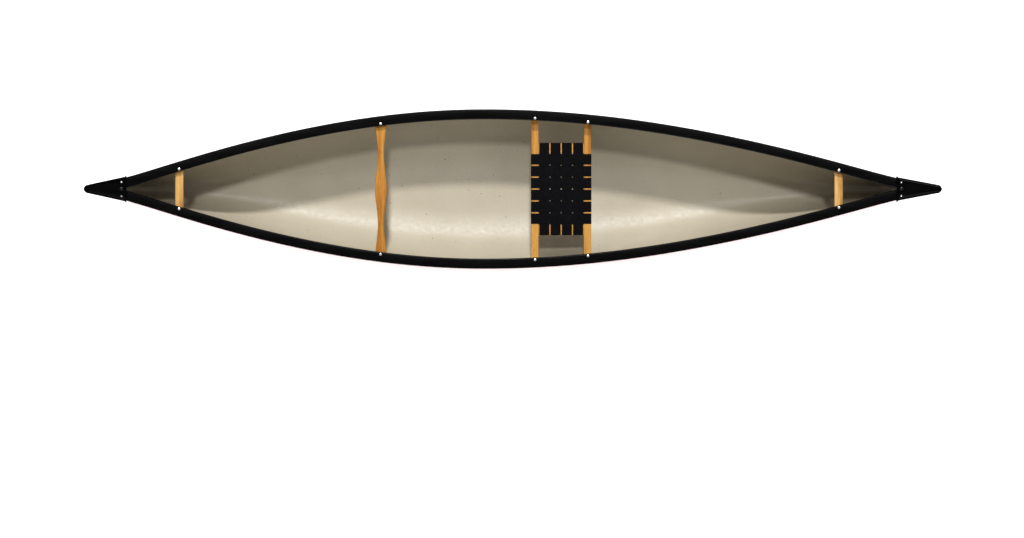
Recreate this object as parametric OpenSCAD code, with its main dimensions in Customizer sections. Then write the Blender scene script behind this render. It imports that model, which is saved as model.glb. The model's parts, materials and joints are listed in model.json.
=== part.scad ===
// Open solo canoe: foam-cored plastic hull, vinyl gunwales with metal inserts,
// moulded deck plates, ash thwarts and a woven-web seat hung from the gunwales.
// Bow towards -X, port towards -Y, keel on Z = 0, millimetres.

/* [Hull] */
// Length of the hull over both stems
hull_length = 3962; // [3700:10:4300]
// Width over both gunwales at the widest station
beam = 740; // [680:5:820]
// Height of the gunwale top at its lowest point
centre_depth = 345; // [310:5:380]
// Height that the gunwale line reaches at the deck plate tips
end_depth = 486; // [450:1:540]
// Where the hull is widest, measured from midships, bow side negative
widest_x = -130; // [-200:10:0]
// Where the gunwale line is lowest, measured from midships
sheer_low_x = -230; // [-300:10:0]
// How steeply the gunwale line climbs towards the ends
sheer_power = 2.6; // [2.2:0.1:3]
// Rise of the keel line where the stems begin
keel_rise = 30; // [20:1:40]
// Length of each stem curve
stem_reach = 330; // [280:5:400]
// Height at which the stems stand furthest out
stem_belly_z = 300; // [270:5:330]
// How far the stem leans back between its belly and the rim
stem_tuck = 52; // [45:1:60]
// Half width of the flat strip under the middle of the keel
keel_flat = 70; // [40:1:90]
// Fullness of the section amidships, where 2 is an ellipse
mid_fullness = 2.7; // [2.4:0.1:3.2]
// Fullness of the sections at the stems
end_fullness = 1.7; // [1.5:0.1:2]

/* [Laminate] */
// Thickness of the outer coloured skin
outer_skin = 1.8; // [1.2:0.1:2.2]
// Thickness of the foam core
foam_core = 2.8; // [2:0.2:4]
// Thickness of the inner skin
inner_skin = 1.4; // [1:0.1:2]

/* [Gunwales] */
// How far the outwale stands out from the hull
outwale_width = 20; // [16:1:24]
// How far the inwale stands in from the hull
inwale_width = 20; // [18:1:24]
// Height of the outwale
outwale_height = 28; // [25:1:32]
// Height of the inwale
inwale_height = 24; // [20:1:28]
// Thickness of the vinyl over the rim of the hull
cap_thickness = 4; // [3:0.5:5]
// Radius of the rounded top edges
edge_round = 5; // [3:0.5:6]
// Depth of the groove along the outwale
groove_depth = 1.5; // [1:0.1:2]
// Thickness of the metal channel inside the inwale
insert_thickness = 2.5; // [2:0.5:3]

/* [Deck plates] */
// Length of the bow deck plate from its lip to its tip
bow_deck_length = 192; // [180:2:220]
// Length of the stern deck plate
stern_deck_length = 204; // [180:2:220]
// How far the lip of a deck plate stands out past its sides
lip_flange = 3.5; // [2:0.5:6]
// Radius of the rounded tip
deck_nose = 20; // [17:1:22]
// Thickness of the raised border
deck_thickness = 8; // [6:0.5:10]
// Depth of the dished middle below the border
dish_depth = 3.5; // [2:0.5:4]
// Thickness of the side skirts
skirt_thickness = 3; // [2:0.5:4]
// How far the skirts reach below the underside of the plate
skirt_drop = 31; // [29:1:36]
// Distance of the deck fasteners from the lip
deck_fastener_inset = 22; // [20:1:40]

/* [Thwarts] */
// Distance of the bow grab thwart from the bow's end
bow_thwart_inset = 446; // [381:1:531]
// Distance of the stern grab thwart from the stern's end
stern_thwart_inset = 481; // [381:1:531]
// Place of the carved centre thwart, measured from midships
centre_thwart_x = -612; // [-700:1:-500]
// Width of a grab thwart
grab_width = 38; // [30:1:46]
// Thickness of every thwart
thwart_thickness = 19; // [16:1:24]
// Width of the centre thwart at its middle and near its ends
centre_thwart_wide = 55; // [46:1:62]
// Width of the centre thwart at its two waists
centre_thwart_waist = 28; // [24:1:34]
// Distance between the two waists
waist_spacing = 330; // [300:5:360]

/* [Seat] */
// Place of the middle of the seat, measured from midships
seat_x = 226.5; // [150:0.5:300]
// Distance between the two rails, centre to centre
rail_spacing = 245; // [235:1:255]
// Width of a seat rail
rail_width = 34; // [32:1:36]
// Thickness of the seat frame
frame_thickness = 20; // [18:1:25]
// Distance between the two stretchers, centre to centre
stretcher_spacing = 382; // [370:1:390]
// Width of the two short stretchers
stretcher_width = 46; // [44:1:52]
// Length of the spacers that hang the seat under the inwales
seat_drop = 30; // [20:1:50]
// Outer diameter of the spacers
spacer_diameter = 16; // [12:1:17]
// Width of the straps that run fore and aft
lengthwise_web = 49; // [44:0.5:50]
// Width of the straps that run across the canoe
crosswise_web = 47; // [42:0.5:48]
// Thickness of the webbing
web_thickness = 1.5; // [1:0.1:1.8]
// Gap between the straps that run fore and aft
lengthwise_gap = 6.4; // [5:0.2:10]
// Gap between the straps that run across the canoe
crosswise_gap = 5.6; // [5:0.2:10]

/* [Fasteners] */
// Thread diameter of the thwart and seat bolts
bolt_diameter = 6; // [5:0.5:7]
// Outer diameter of the cup washers under the bolt heads
cup_washer_diameter = 14; // [13:0.5:17]
// Spacing of the rivets along each gunwale
rivet_spacing = 300; // [260:10:400]

/* [Hidden] */
$fn = 48;

port = -1;
starboard = 1;
bow = -1;
stern = 1;
sides = [port, starboard];
ends = [bow, stern];

// ---- fits and small clearances
fit = 0.3;             // gap between faces that meet on a curve
rim_gap = 0.8;         // slack on the inside of the hull's rim
hole_slack = 0.25;     // radial slack round bolts, rivets, screws and dowels
end_slack = 1.5;       // gap between a thwart's end and the hull
rail_end_slack = 4;    // the same for the seat rails
through = 200;         // longer than anything that is drilled
cut = 1;               // how far a cutting shape runs past the face it cuts

// ---- plan and profile of the hull
wall = outer_skin + foam_core + inner_skin;
half_length = hull_length / 2;
stem_x = half_length - stem_reach;   // where the keel turns up into the stems
tip_back = 19;                       // how far the deck tips stop short of the stem bellies
tip_x = half_length - tip_back;
rim_x = half_length - stem_tuck;     // where the rim meets the stem
stem_power = 2.2;                    // squareness of the stem curve
stem_softness = 12;                  // keeps the rim from closing to a knife edge
end_fineness = 0.18;                 // draws the plan in a little close to the tips
fineness_power = 6;
stem_thicken = 2;                    // the laminate is this many times thicker at the stem
rim_step_back = 2.5;                 // each layer's rim ends this many thicknesses earlier
keel_power = 1.2;
lean_power = 2;
station_count = 30;
flat_steps = 2;                      // stations each side of midships on the flat of the keel
station_gap = 2 * stem_x / station_count;
keel_flat_x = flat_steps * station_gap;
fan_count = 10;
girth_count = 11;
stem_split = 0.6;                    // share of the fan below the stem's belly
stem_top_gap = 24;                   // height of the last, shortest section
stem_flat = 1.5;
flat_power = 1.5;
flat_limit = 0.4;

function end_span(x, from) = x < from ? tip_x + from : tip_x - from;
function gunwale_line(x) =
  beam / 2 * pow(max(0, cos(90 * abs(x - widest_x) / end_span(x, widest_x))),
                 1 + end_fineness * pow(abs(x) / tip_x, fineness_power));
function hull_half(x) =
  let (c = gunwale_line(x) - outwale_width)
  (c + sqrt(c * c + 4 * stem_softness * stem_softness)) / 2;
function rail_top(x) =
  centre_depth + (end_depth - centre_depth)
  * pow(abs(x - sheer_low_x) / end_span(x, sheer_low_x), sheer_power);
function rim_z(x) = rail_top(x) - cap_thickness - fit;
function keel_z(x) =
  keel_rise * pow(max(0, abs(x) - keel_flat_x) / (stem_x - keel_flat_x), keel_power);
function taper(x) = cos(90 * min(1, abs(x) / rim_x));
function fullness(x) = end_fullness + (mid_fullness - end_fullness) * taper(x);

// ---- stations: plane sections between the stems, and a fan of sections at each stem
mid_stations = [for (i = [1 : station_count - 1]) -stem_x + i * station_gap];
function fan_x(side, fan, d) = side * (stem_x + (rim_x - rim_step_back * d - stem_x) * fan);

// The keel line carried up the stem, for the surface that lies d inside the outer one
function stem_point(side, fan, d) =
  let (
    reach = stem_reach - stem_thicken * d,
    depth = stem_belly_z - keel_rise - d,
    turn = 90 * min(1, fan / stem_split),
    rise = max(0, fan - stem_split) / (1 - stem_split),
    z_rim = rim_z(fan_x(side, 1, d)),
    z_up = stem_belly_z + (z_rim - stem_top_gap - stem_belly_z) * rise,
    lean = pow((z_up - stem_belly_z) / (z_rim - stem_belly_z), lean_power),
    tuck = stem_tuck + (rim_step_back - stem_thicken) * d
  )
  fan < stem_split
  ? [side * (stem_x + reach * pow(sin(turn), 2 / stem_power)),
     stem_belly_z - depth * pow(cos(turn), 2 / stem_power)]
  : [side * (stem_x + reach - tuck * lean), z_up];

// Half width of the flat keel strip of a section
function section_flat(x, half) =
  min(stem_flat + (keel_flat - stem_flat) * pow(taper(x), flat_power), flat_limit * half);

// One section, as points from the port rim round under the keel to the starboard rim
function section(low, rim, d) =
  let (
    half = hull_half(rim) - d,
    power = 2 / fullness(rim),
    flat = section_flat(rim, half),
    side_points = [for (j = [0 : girth_count])
      let (a = 90 * j / girth_count, up = 1 - pow(cos(a), power))
      [low[0] + (rim - low[0]) * up,
       flat + (half - flat) * pow(sin(a), power),
       low[1] + (rim_z(rim) - low[1]) * up]]
  )
  concat(
    [for (j = [girth_count : -1 : 0]) let (p = side_points[j]) [p[0], -p[1], p[2]]],
    side_points);

function fan_section(side, k, d) =
  let (fan = k / fan_count)
  section(stem_point(side, fan, d), fan_x(side, fan, d), d);

function hull_surface(d) = concat(
  [for (k = [fan_count : -1 : 0]) fan_section(bow, k, d)],
  [for (x = mid_stations) section([x, keel_z(x) + d], x, d)],
  [for (k = [0 : fan_count]) fan_section(stern, k, d)]);

// Triangles over a grid of rings, every square split the same way
function grid_faces(rows, columns, first, flip) =
  [for (i = [0 : rows - 2], j = [0 : columns - 2], half = [0, 1])
    let (a = first + i * columns + j, b = a + 1, c = a + columns, e = c + 1)
    half == 0 ? (flip ? [a, c, b] : [a, b, c]) : (flip ? [b, c, e] : [b, e, c])];

// The laminate layer between the surfaces that lie d0 and d1 inside the outer one
module hull_layer(d0, d1) {
  outside = hull_surface(d0);
  inside = hull_surface(d1);
  rows = len(outside);
  columns = len(outside[0]);
  n = rows * columns;
  last = columns - 1;
  rims = [for (i = [0 : rows - 2], j = [0, last], half = [0, 1])
    let (a = i * columns + j, c = a + columns, p = a + n, q = c + n)
    j == 0 ? (half == 0 ? [a, c, p] : [c, q, p]) : (half == 0 ? [a, p, c] : [c, p, q])];
  end_strips = [for (i = [0, rows - 1], j = [0 : last - 1], half = [0, 1])
    let (a = i * columns + j, b = a + 1, p = a + n, q = b + n)
    i == 0 ? (half == 0 ? [a, p, b] : [b, p, q]) : (half == 0 ? [a, b, p] : [b, q, p])];
  difference() {
    polyhedron(
      concat([for (ring = outside) each ring], [for (ring = inside) each ring]),
      concat(grid_faces(rows, columns, 0, false), grid_faces(rows, columns, n, true),
             rims, end_strips));
    rivet_bores();
  }
}

// ---- gunwales: a section swept along the rim, u outwards from the hull and w up
rail_fan = 9;                        // the sweep ends one fan step short of the stem
rail_end = 64;                       // the gunwales are sawn off this far short of the rim's end
rail_xs = concat(
  [for (k = [rail_fan : -1 : 0]) fan_x(bow, k / fan_count, 0)],
  mid_stations,
  [for (k = [0 : rail_fan]) fan_x(stern, k / fan_count, 0)]);
insert_fan = 2;                      // the metal stops where the inwales start to narrow
insert_xs = concat(
  [for (k = [insert_fan : -1 : 0]) fan_x(bow, k / fan_count, 0)],
  mid_stations,
  [for (k = [0 : insert_fan]) fan_x(stern, k / fan_count, 0)]);
slot_inner = wall + rim_gap;         // distance from the hull's outer face to the inwale
vinyl_wall = 3;
vinyl_roof = 1;                      // vinyl over the metal channel, beyond the cap's thickness
channel_outer = slot_inner + vinyl_wall;
channel_inner = slot_inner + inwale_width - vinyl_wall;
channel_top = cap_thickness + vinyl_roof;
short_leg = 1;                       // the insert's leg beside the hull stops this much higher
round_steps = 3;
groove_half = 3;
foot_chamfer = 2;
bolt_inset = slot_inner + inwale_width / 2;

// The rim as it is built, straight from one station to the next: what fits on it uses these
rim_plan = [for (x = rail_xs) [x, hull_half(x)]];
rim_rise = [for (x = rail_xs) [x, rail_top(x)]];
function side_y(x) = lookup(x, rim_plan);
function top_z(x) = lookup(x, rim_rise);
function rail_slope(x) = atan2(top_z(x + 1) - top_z(x - 1), 2);

function inwale_at(x) = min(inwale_width, hull_half(x) - slot_inner - fit);

// Half width inside the hull at a station between the stems, so far below the gunwale top
function inner_half(x, drop) =
  let (
    half = side_y(x) - wall,
    flat = section_flat(x, half),
    down = drop / (top_z(x) - keel_z(x) - wall)
  )
  flat + (half - flat) * pow(1 - pow(down, fullness(x)), 1 / fullness(x));
function clear_half(x, width, drop) =
  min(inner_half(x - width / 2, drop), inner_half(x + width / 2, drop));

// The bolts stand in the middle of the inwale, or further in where the wall leans in under it
function bolt_y(x) =
  min(side_y(x) - bolt_inset,
      clear_half(x, flat_washer_diameter, grip(x) + washer_thickness)
      - flat_washer_diameter / 2 - washer_clear);

function gunwale_section(x) =
  let (
    inner = slot_inner + inwale_at(x),
    inner_round = min(edge_round, inwale_at(x) - fit),
    groove_w = -(outwale_height + edge_round) / 2
  )
  concat(
    [for (i = [0 : round_steps]) let (a = 90 * i / round_steps)
      [outwale_width - edge_round * (1 - cos(a)), -edge_round * (1 - sin(a))]],
    [for (i = [round_steps : -1 : 0]) let (a = 90 * i / round_steps)
      [-inner + inner_round * (1 - cos(a)), -edge_round * (1 - sin(a))]],
    [[-inner, -inwale_height], [-slot_inner, -inwale_height],
     [-slot_inner, -cap_thickness], [fit, -cap_thickness],
     [fit, -outwale_height], [outwale_width - foot_chamfer, -outwale_height],
     [outwale_width, -outwale_height + foot_chamfer],
     [outwale_width, groove_w - groove_half], [outwale_width - groove_depth, groove_w],
     [outwale_width, groove_w + groove_half]]);

function channel_section() =
  [[-channel_outer, -channel_top], [-channel_inner, -channel_top],
   [-channel_inner, -inwale_height - cut], [-channel_outer, -inwale_height - cut]];

function insert_section() =
  let (
    a = channel_outer + fit,
    b = channel_inner - fit,
    top = -channel_top - fit,
    t = insert_thickness,
    short = -inwale_height + short_leg
  )
  [[-a, top], [-b, top], [-b, -inwale_height], [-b + t, -inwale_height],
   [-b + t, top - t], [-a - t, top - t], [-a - t, short], [-a, short]];

// Sweeps one section per station on the given side of the canoe
module rail_sweep(side, xs, sections) {
  columns = len(sections[0]);
  rows = len(xs);
  points = [for (i = [0 : rows - 1]) each
    [for (s = sections[i]) [xs[i], side * (hull_half(xs[i]) + s[0]), rail_top(xs[i]) + s[1]]]];
  sides = [for (i = [0 : rows - 2], j = [0 : columns - 1], half = [0, 1])
    let (k = (j + 1) % columns, a = i * columns + j, b = i * columns + k)
    half == 0 ? [a, b, a + columns] : [b, b + columns, a + columns]];
  caps = [[for (j = [columns - 1 : -1 : 0]) j],
          [for (j = [0 : columns - 1]) (rows - 1) * columns + j]];
  faces = concat(sides, caps);
  turned = [for (f = faces) [for (j = [len(f) - 1 : -1 : 0]) f[j]]];
  polyhedron(points, side == port ? faces : turned);
}

module gunwale(side) {
  difference() {
    rail_sweep(side, rail_xs, [for (x = rail_xs) gunwale_section(x)]);
    rail_sweep(side, insert_xs, [for (x = insert_xs) channel_section()]);
    bolt_bores([side], bolt_xs);
    rivet_bores();
    deck_screw_bores();
    for (end = ends)
      translate([end * (rim_x - rail_end + through / 2), 0, end_depth])
        cube(through, center = true);
  }
}

module gunwale_insert(side) {
  difference() {
    rail_sweep(side, insert_xs, [for (x = insert_xs) insert_section()]);
    bolt_bores([side], bolt_xs);
    rivet_bores();
  }
}

// ---- bolts that hang the thwarts and the seat
bow_thwart_x = bow_thwart_inset - half_length;
stern_thwart_x = half_length - stern_thwart_inset;
thwart_xs = [bow_thwart_x, centre_thwart_x, stern_thwart_x];
rail_places = [seat_x - rail_spacing / 2, seat_x + rail_spacing / 2];
bolt_xs = concat(thwart_xs, rail_places);

// Moves to the gunwale top over a bolt, with Z square to the gunwale
module at_bolt(side, x) {
  translate([x, side * bolt_y(x), top_z(x)])
    rotate([0, -rail_slope(x), 0])
      children();
}

module bolt_bores(on_sides, xs) {
  for (side = on_sides, x = xs)
    at_bolt(side, x)
      cylinder(d = bolt_diameter + 2 * hole_slack, h = through, center = true);
}

// ---- rivets through the inwale, the hull and part of the outwale
rivet_diameter = 4.8;
rivet_head_diameter = 9;
rivet_head_height = 1.4;
rivet_w = inwale_height * 2 / 3;     // height of the rivets below the gunwale top
rivet_depth = 12;                    // how far the rivets reach into the outwale
rivet_end_gap = 20;                  // the last rivets stop this far short of the stems
rivet_run = stem_x - rivet_end_gap;
rivet_count = floor(2 * rivet_run / rivet_spacing);
rivet_step = 2 * rivet_run / rivet_count;
rivet_clear = 20;                    // rivets keep this far from the bolts
rivet_xs = [for (i = [0 : rivet_count])
  let (x = -rivet_run + i * rivet_step)
  if (min([for (b = bolt_xs) abs(x - b)]) > rivet_clear) x];
rivet_seat = channel_outer + fit + insert_thickness;

// Angle in plan between the hull's side and the X axis
function plan_angle(x) = atan2(side_y(x + 1) - side_y(x - 1), 2);
function rivet_in(x) = rivet_seat * cos(plan_angle(x)) + fit;

// Moves to the hull's outer face at a rivet, with Z outwards through the laminate
module at_rivet(side, x) {
  translate([x, side * side_y(x), top_z(x) - rivet_w])
    rotate([0, 0, side * plan_angle(x)])
      rotate([-90 * side, 0, 0])
        children();
}

module rivet_bores() {
  for (side = sides, x = rivet_xs)
    at_rivet(side, x)
      translate([0, 0, -rivet_in(x) - cut])
        cylinder(d = rivet_diameter + 2 * hole_slack, h = rivet_in(x) + rivet_depth + cut + fit);
}

module gunwale_rivets() {
  color("silver")
    for (side = sides, x = rivet_xs)
      at_rivet(side, x)
        translate([0, 0, -rivet_in(x)])
          rotate_extrude()
            polygon([[0, -rivet_head_height], [rivet_diameter / 2, -rivet_head_height],
                     [rivet_head_diameter / 2, -rivet_head_height / 2],
                     [rivet_head_diameter / 2, 0], [rivet_diameter / 2, 0],
                     [rivet_diameter / 2, rivet_in(x) + rivet_depth],
                     [0, rivet_in(x) + rivet_depth]]);
}

// ---- deck plates, in their own frame: X from the lip to the tip, Z square to the top
function deck_length(end) = end == bow ? bow_deck_length : stern_deck_length;
function lip_x(end) = end * (tip_x - deck_length(end));
deck_gap = 1;                        // the underside stands this far over the gunwale at the lip
deck_tip_rise = 5;                   // the border's height over the gunwale line at the tip
dish_border = 8;
dish_round = 8;
nose_rake = 11;
lip_band = 6;                        // length of the flange at the lip
function lip_half(end) = side_y(lip_x(end)) + outwale_width + fit + skirt_thickness;
void_nose = 6;                       // thickness of the nose in front of the stem

function deck_slope(end) =
  atan2(end_depth + deck_tip_rise - top_z(lip_x(end)) - deck_gap - deck_thickness,
        deck_length(end));

nose_steps = 16;

// Outline with straight sides that run on to a round nose, drawn in by the given inset
module deck_outline(end, inset) {
  r = deck_nose - inset;
  h = lip_half(end) - inset;
  run = deck_length(end) - deck_nose;
  end_angle = 90 - atan2(h, run) + asin(r / norm([run, h]));
  polygon(concat(
    [[0, -h]],
    [for (i = [-nose_steps : nose_steps]) let (a = end_angle * i / nose_steps)
      [run + r * cos(a), r * sin(a)]],
    [[0, h]]));
}

module dish_outline(end) {
  r = deck_nose - dish_border;
  h = lip_half(end) - dish_border - dish_round;
  run = deck_length(end) - deck_nose;
  x0 = dish_border + dish_round;
  polygon([[x0, -h - dish_round], [run, -r], [run, r], [x0, h + dish_round],
           [dish_border, h], [dish_border, -h]]);
  translate([run, 0])
    circle(r);
  for (side = sides)
    translate([x0, side * h])
      circle(dish_round);
}

// Moves to the lip of a deck plate, with X towards the tip
module at_deck(end) {
  translate([lip_x(end), 0, top_z(lip_x(end)) + deck_gap])
    rotate([0, 0, end == bow ? 180 : 0])
      rotate([0, -deck_slope(end), 0])
        children();
}

screw_diameter = 4;
side_head_diameter = 8;
centre_head_diameter = 16;
screw_head_height = 2.4;
screw_point = 3;                     // length of the tapered point
side_screw_length = 20;
side_screw_out = 4;                  // how far outside the hull's face the side screws stand
centre_screw_length = 16;

// Moves to the seat of the side screws over the outwales, or of the centre screw
module at_side_screws(end) {
  at_deck(end)
    for (side = sides)
      translate([deck_fastener_inset, side * (side_y(lip_x(end) + end * deck_fastener_inset)
                 + side_screw_out), deck_thickness - dish_depth])
        children();
}

module at_centre_screw(end) {
  at_deck(end)
    translate([deck_fastener_inset, 0, deck_thickness - dish_depth])
      children();
}

module deck_screw_bores() {
  for (end = ends) {
    at_side_screws(end)
      cylinder(d = screw_diameter + 2 * hole_slack,
               h = 2 * (side_screw_length + cut), center = true);
    at_centre_screw(end)
      cylinder(d = screw_diameter + 2 * hole_slack,
               h = 2 * (centre_screw_length + cut), center = true);
  }
}

module deck_plate(end) {
  difference() {
    at_deck(end)
      difference() {
        translate([0, 0, -skirt_drop])
          linear_extrude(skirt_drop + deck_thickness)
            union() {
              deck_outline(end, 0);
              translate([0, -lip_half(end) - lip_flange])
                square([lip_band, 2 * (lip_half(end) + lip_flange)]);
            }
        // the hollow that takes the gunwales and the stem
        difference() {
          translate([0, 0, -skirt_drop - cut])
            linear_extrude(skirt_drop + cut)
              union() {
                deck_outline(end, skirt_thickness);
                translate([-cut, -lip_half(end) + skirt_thickness])
                  square([2 * cut, 2 * (lip_half(end) - skirt_thickness)]);
              }
          translate([deck_length(end) - void_nose, 0, deck_thickness])
            rotate([0, nose_rake + deck_slope(end), 0])
              translate([0, -through, -through])
                cube([through, 2 * through, 2 * through]);
        }
        translate([0, 0, deck_thickness - dish_depth])
          linear_extrude(deck_thickness)
            dish_outline(end);
        // the nose slopes back below the tip
        translate([deck_length(end), 0, deck_thickness])
          rotate([0, nose_rake + deck_slope(end), 0])
            translate([0, -through, -through])
              cube([through, 2 * through, 2 * through]);
      }
    deck_screw_bores();
  }
}

// A pan-head screw with its head on Z = 0 and its point below
module screw(length, head) {
  rotate_extrude()
    polygon([[0, -length], [screw_diameter / 2, -length + screw_point], [screw_diameter / 2, fit],
             [head / 2, fit], [head / 2, screw_head_height / 2],
             [head / 3, screw_head_height], [0, screw_head_height]]);
}

module deck_side_screws() {
  color("silver")
    for (end = ends)
      at_side_screws(end)
        screw(side_screw_length, side_head_diameter);
}

module deck_centre_screws() {
  color("dimgray")
    for (end = ends)
      at_centre_screw(end)
        screw(centre_screw_length, centre_head_diameter);
}

// ---- thwarts
edge_radius = 5;

module rounded_section(width, height, r) {
  for (x = [-1, 1], y = [-1, 1])
    translate([x * (width / 2 - r), y * (height / 2 - r)])
      circle(r);
  square([width - 2 * r, height], center = true);
  square([width, height - 2 * r], center = true);
}

// A bar across the canoe with its top on Z = 0
module cross_bar(length, width, height, r) {
  translate([0, 0, -height / 2])
    rotate([90, 0, 0])
      linear_extrude(length, center = true)
        rounded_section(width, height, r);
}

// Moves to the underside of the inwales on the centreline at x
module under_inwales(x, drop) {
  translate([x, 0, top_z(x)])
    rotate([0, -rail_slope(x), 0])
      translate([0, 0, -inwale_height - fit - drop])
        children();
}

module grab_thwart(x) {
  color("burlywood")
    difference() {
      under_inwales(x, 0)
        cross_bar(2 * (clear_half(x, grab_width, thwart_grip) - end_slack),
                  grab_width, thwart_thickness, edge_radius);
      bolt_bores(sides, [x]);
    }
}

// Half width of the carved thwart, which swells and narrows as a wave
function carved_half(y) =
  (centre_thwart_wide + centre_thwart_waist) / 4
  + (centre_thwart_wide - centre_thwart_waist) / 4 * cos(360 * y / waist_spacing);

carve_count = 40;

module centre_thwart() {
  x = centre_thwart_x;
  reach = clear_half(x, centre_thwart_wide, thwart_grip) - end_slack;
  ys = [for (i = [-carve_count : carve_count]) reach * i / carve_count];
  color("burlywood")
    difference() {
      under_inwales(x, thwart_thickness)
        linear_extrude(thwart_thickness)
          polygon(concat([for (y = ys) [carved_half(y), y]],
                         [for (i = [len(ys) - 1 : -1 : 0]) [-carved_half(ys[i]), ys[i]]]));
      bolt_bores(sides, [x]);
    }
}

// ---- seat, level, hung from the two rail places
seat_top = min([for (x = rail_places) top_z(x)]) - inwale_height - seat_drop;
front_inner = rail_places[0] + rail_width / 2;
rear_inner = rail_places[1] - rail_width / 2;
clear_span = rear_inner - front_inner;
dowel_diameter = 8;
dowel_length = 36;
staple_crown = 10;
staple_wire = 1.2;
staple_leg = 9;
staple_inset = 14;                   // distance of the staples from the wrapped edge
web_tail = 24;                       // length of webbing that turns under the wood
rail_round = 3;
strap_gap = 0.1;                     // gap between straps where they cross

// Centres of as many straps as the opening takes, the group centred on 0
function strap_places(opening, web, gap) =
  let (count = floor((opening + gap) / (web + gap)))
  [for (i = [0 : count - 1]) (i - (count - 1) / 2) * (web + gap)];
lengthwise_ys = strap_places(stretcher_spacing - stretcher_width, lengthwise_web, lengthwise_gap);
crosswise_xs = [for (o = strap_places(clear_span, crosswise_web, crosswise_gap)) seat_x + o];

module seat_rail(x) {
  length = 2 * (clear_half(x, 2 * rail_width, top_z(x) - seat_top + frame_thickness)
                - rail_end_slack);
  color("burlywood")
    difference() {
      translate([x, 0, seat_top])
        cross_bar(length, rail_width, frame_thickness, rail_round);
      bolt_bores(sides, [x]);
      dowel_bores();
      staple_bores();
    }
}

module seat_stretcher(side) {
  color("burlywood")
    difference() {
      translate([seat_x, side * stretcher_spacing / 2, seat_top - frame_thickness / 2])
        cube([clear_span, stretcher_width, frame_thickness], center = true);
      dowel_bores();
      staple_bores();
    }
}

// The dowels stand either side of a stretcher's middle, just clear of the staples' line
dowel_offset = stretcher_width / 2 - staple_inset + (dowel_diameter + staple_wire) / 2
               + hole_slack + fit;

module at_dowels() {
  for (side = sides, x = [front_inner, rear_inner], o = [-1, 1])
    translate([x, side * stretcher_spacing / 2 + o * dowel_offset,
               seat_top - frame_thickness / 2])
      rotate([0, 90, 0])
        children();
}

module dowel_bores() {
  at_dowels()
    cylinder(d = dowel_diameter + 2 * hole_slack, h = dowel_length + 2 * fit, center = true);
}

module seat_dowels() {
  color("burlywood")
    at_dowels()
      cylinder(d = dowel_diameter, h = dowel_length, center = true);
}

// Path of one strap: the wood's two outer edges, its top and the crossings between.
// Sign is 1 where the strap runs over the first crossing, and -1 where it runs under.
function weave(centres, width, sign) =
  [for (j = [0 : len(centres) - 1]) each
    let (s = j % 2 == 0 ? sign : -sign, z = s * (web_thickness + strap_gap) / 2)
    [[centres[j] - width / 2 - strap_gap, z], [centres[j] + width / 2 + strap_gap, z]]];

module strap_profile(outer0, outer1, wood, centres, width, sign) {
  t = web_thickness;
  path = concat([[outer0, 0], [outer0 + wood, 0]],
                weave(centres, width, sign),
                [[outer1 - wood, 0], [outer1, 0]]);
  polygon(concat([for (p = path) [p[0], p[1] + t]],
                 [for (i = [len(path) - 1 : -1 : 0]) path[i]]));
  for (x = [outer0 - t, outer1])
    translate([x, -frame_thickness - t])
      square([t, frame_thickness + 2 * t]);
  for (x = [outer0 - t, outer1 + t - web_tail])
    translate([x, -frame_thickness - t])
      square([web_tail, t]);
}

module seat_webbing_lengthwise() {
  color("dimgray")
    difference() {
      for (i = [0 : len(lengthwise_ys) - 1])
        translate([0, lengthwise_ys[i] + lengthwise_web / 2, seat_top])
          rotate([90, 0, 0])
            linear_extrude(lengthwise_web)
              strap_profile(front_inner - rail_width, rear_inner + rail_width, rail_width,
                            crosswise_xs, crosswise_web, i % 2 == 0 ? 1 : -1);
      staple_bores();
    }
}

module seat_webbing_crosswise() {
  outer = (stretcher_spacing + stretcher_width) / 2;
  color("dimgray")
    difference() {
      for (j = [0 : len(crosswise_xs) - 1])
        translate([crosswise_xs[j] - crosswise_web / 2, 0, seat_top])
          rotate([90, 0, 90])
            linear_extrude(crosswise_web)
              strap_profile(-outer, outer, stretcher_width,
                            lengthwise_ys, lengthwise_web, j % 2 == 0 ? -1 : 1);
      staple_bores();
    }
}

// Moves to a staple under the frame, with the crown along X
module at_staples() {
  outer_y = (stretcher_spacing + stretcher_width) / 2;
  z = seat_top - frame_thickness - web_thickness;
  for (x = [front_inner - rail_width + staple_inset, rear_inner + rail_width - staple_inset],
       y = lengthwise_ys)
    translate([x, y, z])
      rotate([0, 0, 90])
        children();
  for (x = crosswise_xs, side = [port, starboard])
    translate([x, side * (outer_y - staple_inset), z])
      children();
}

module staple_bores() {
  at_staples()
    for (o = [-1, 1])
      translate([o * staple_crown / 2, 0, -cut])
        cylinder(d = staple_wire + hole_slack, h = staple_leg + cut + fit);
}

module webbing_staples() {
  color("silver")
    at_staples() {
      translate([-(staple_crown + staple_wire) / 2, -staple_wire / 2, -staple_wire])
        cube([staple_crown + staple_wire, staple_wire, staple_wire]);
      for (o = [-1, 1])
        translate([o * staple_crown / 2, 0, -staple_wire / 2])
          cylinder(d = staple_wire, h = staple_leg + staple_wire / 2);
    }
}

module seat_spacers() {
  color("silver")
    for (side = sides, x = rail_places)
      at_bolt(side, x)
        translate([0, 0, -spacer_foot(x)])
          difference() {
            cylinder(d = spacer_diameter, h = spacer_foot(x) - inwale_height - fit);
            cylinder(d = bolt_diameter + 2 * hole_slack, h = through, center = true);
          }
}

// Distance along a seat bolt from the gunwale top to the seat rail
function spacer_foot(x) = (top_z(x) - seat_top) / cos(rail_slope(x)) - fit;

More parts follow.
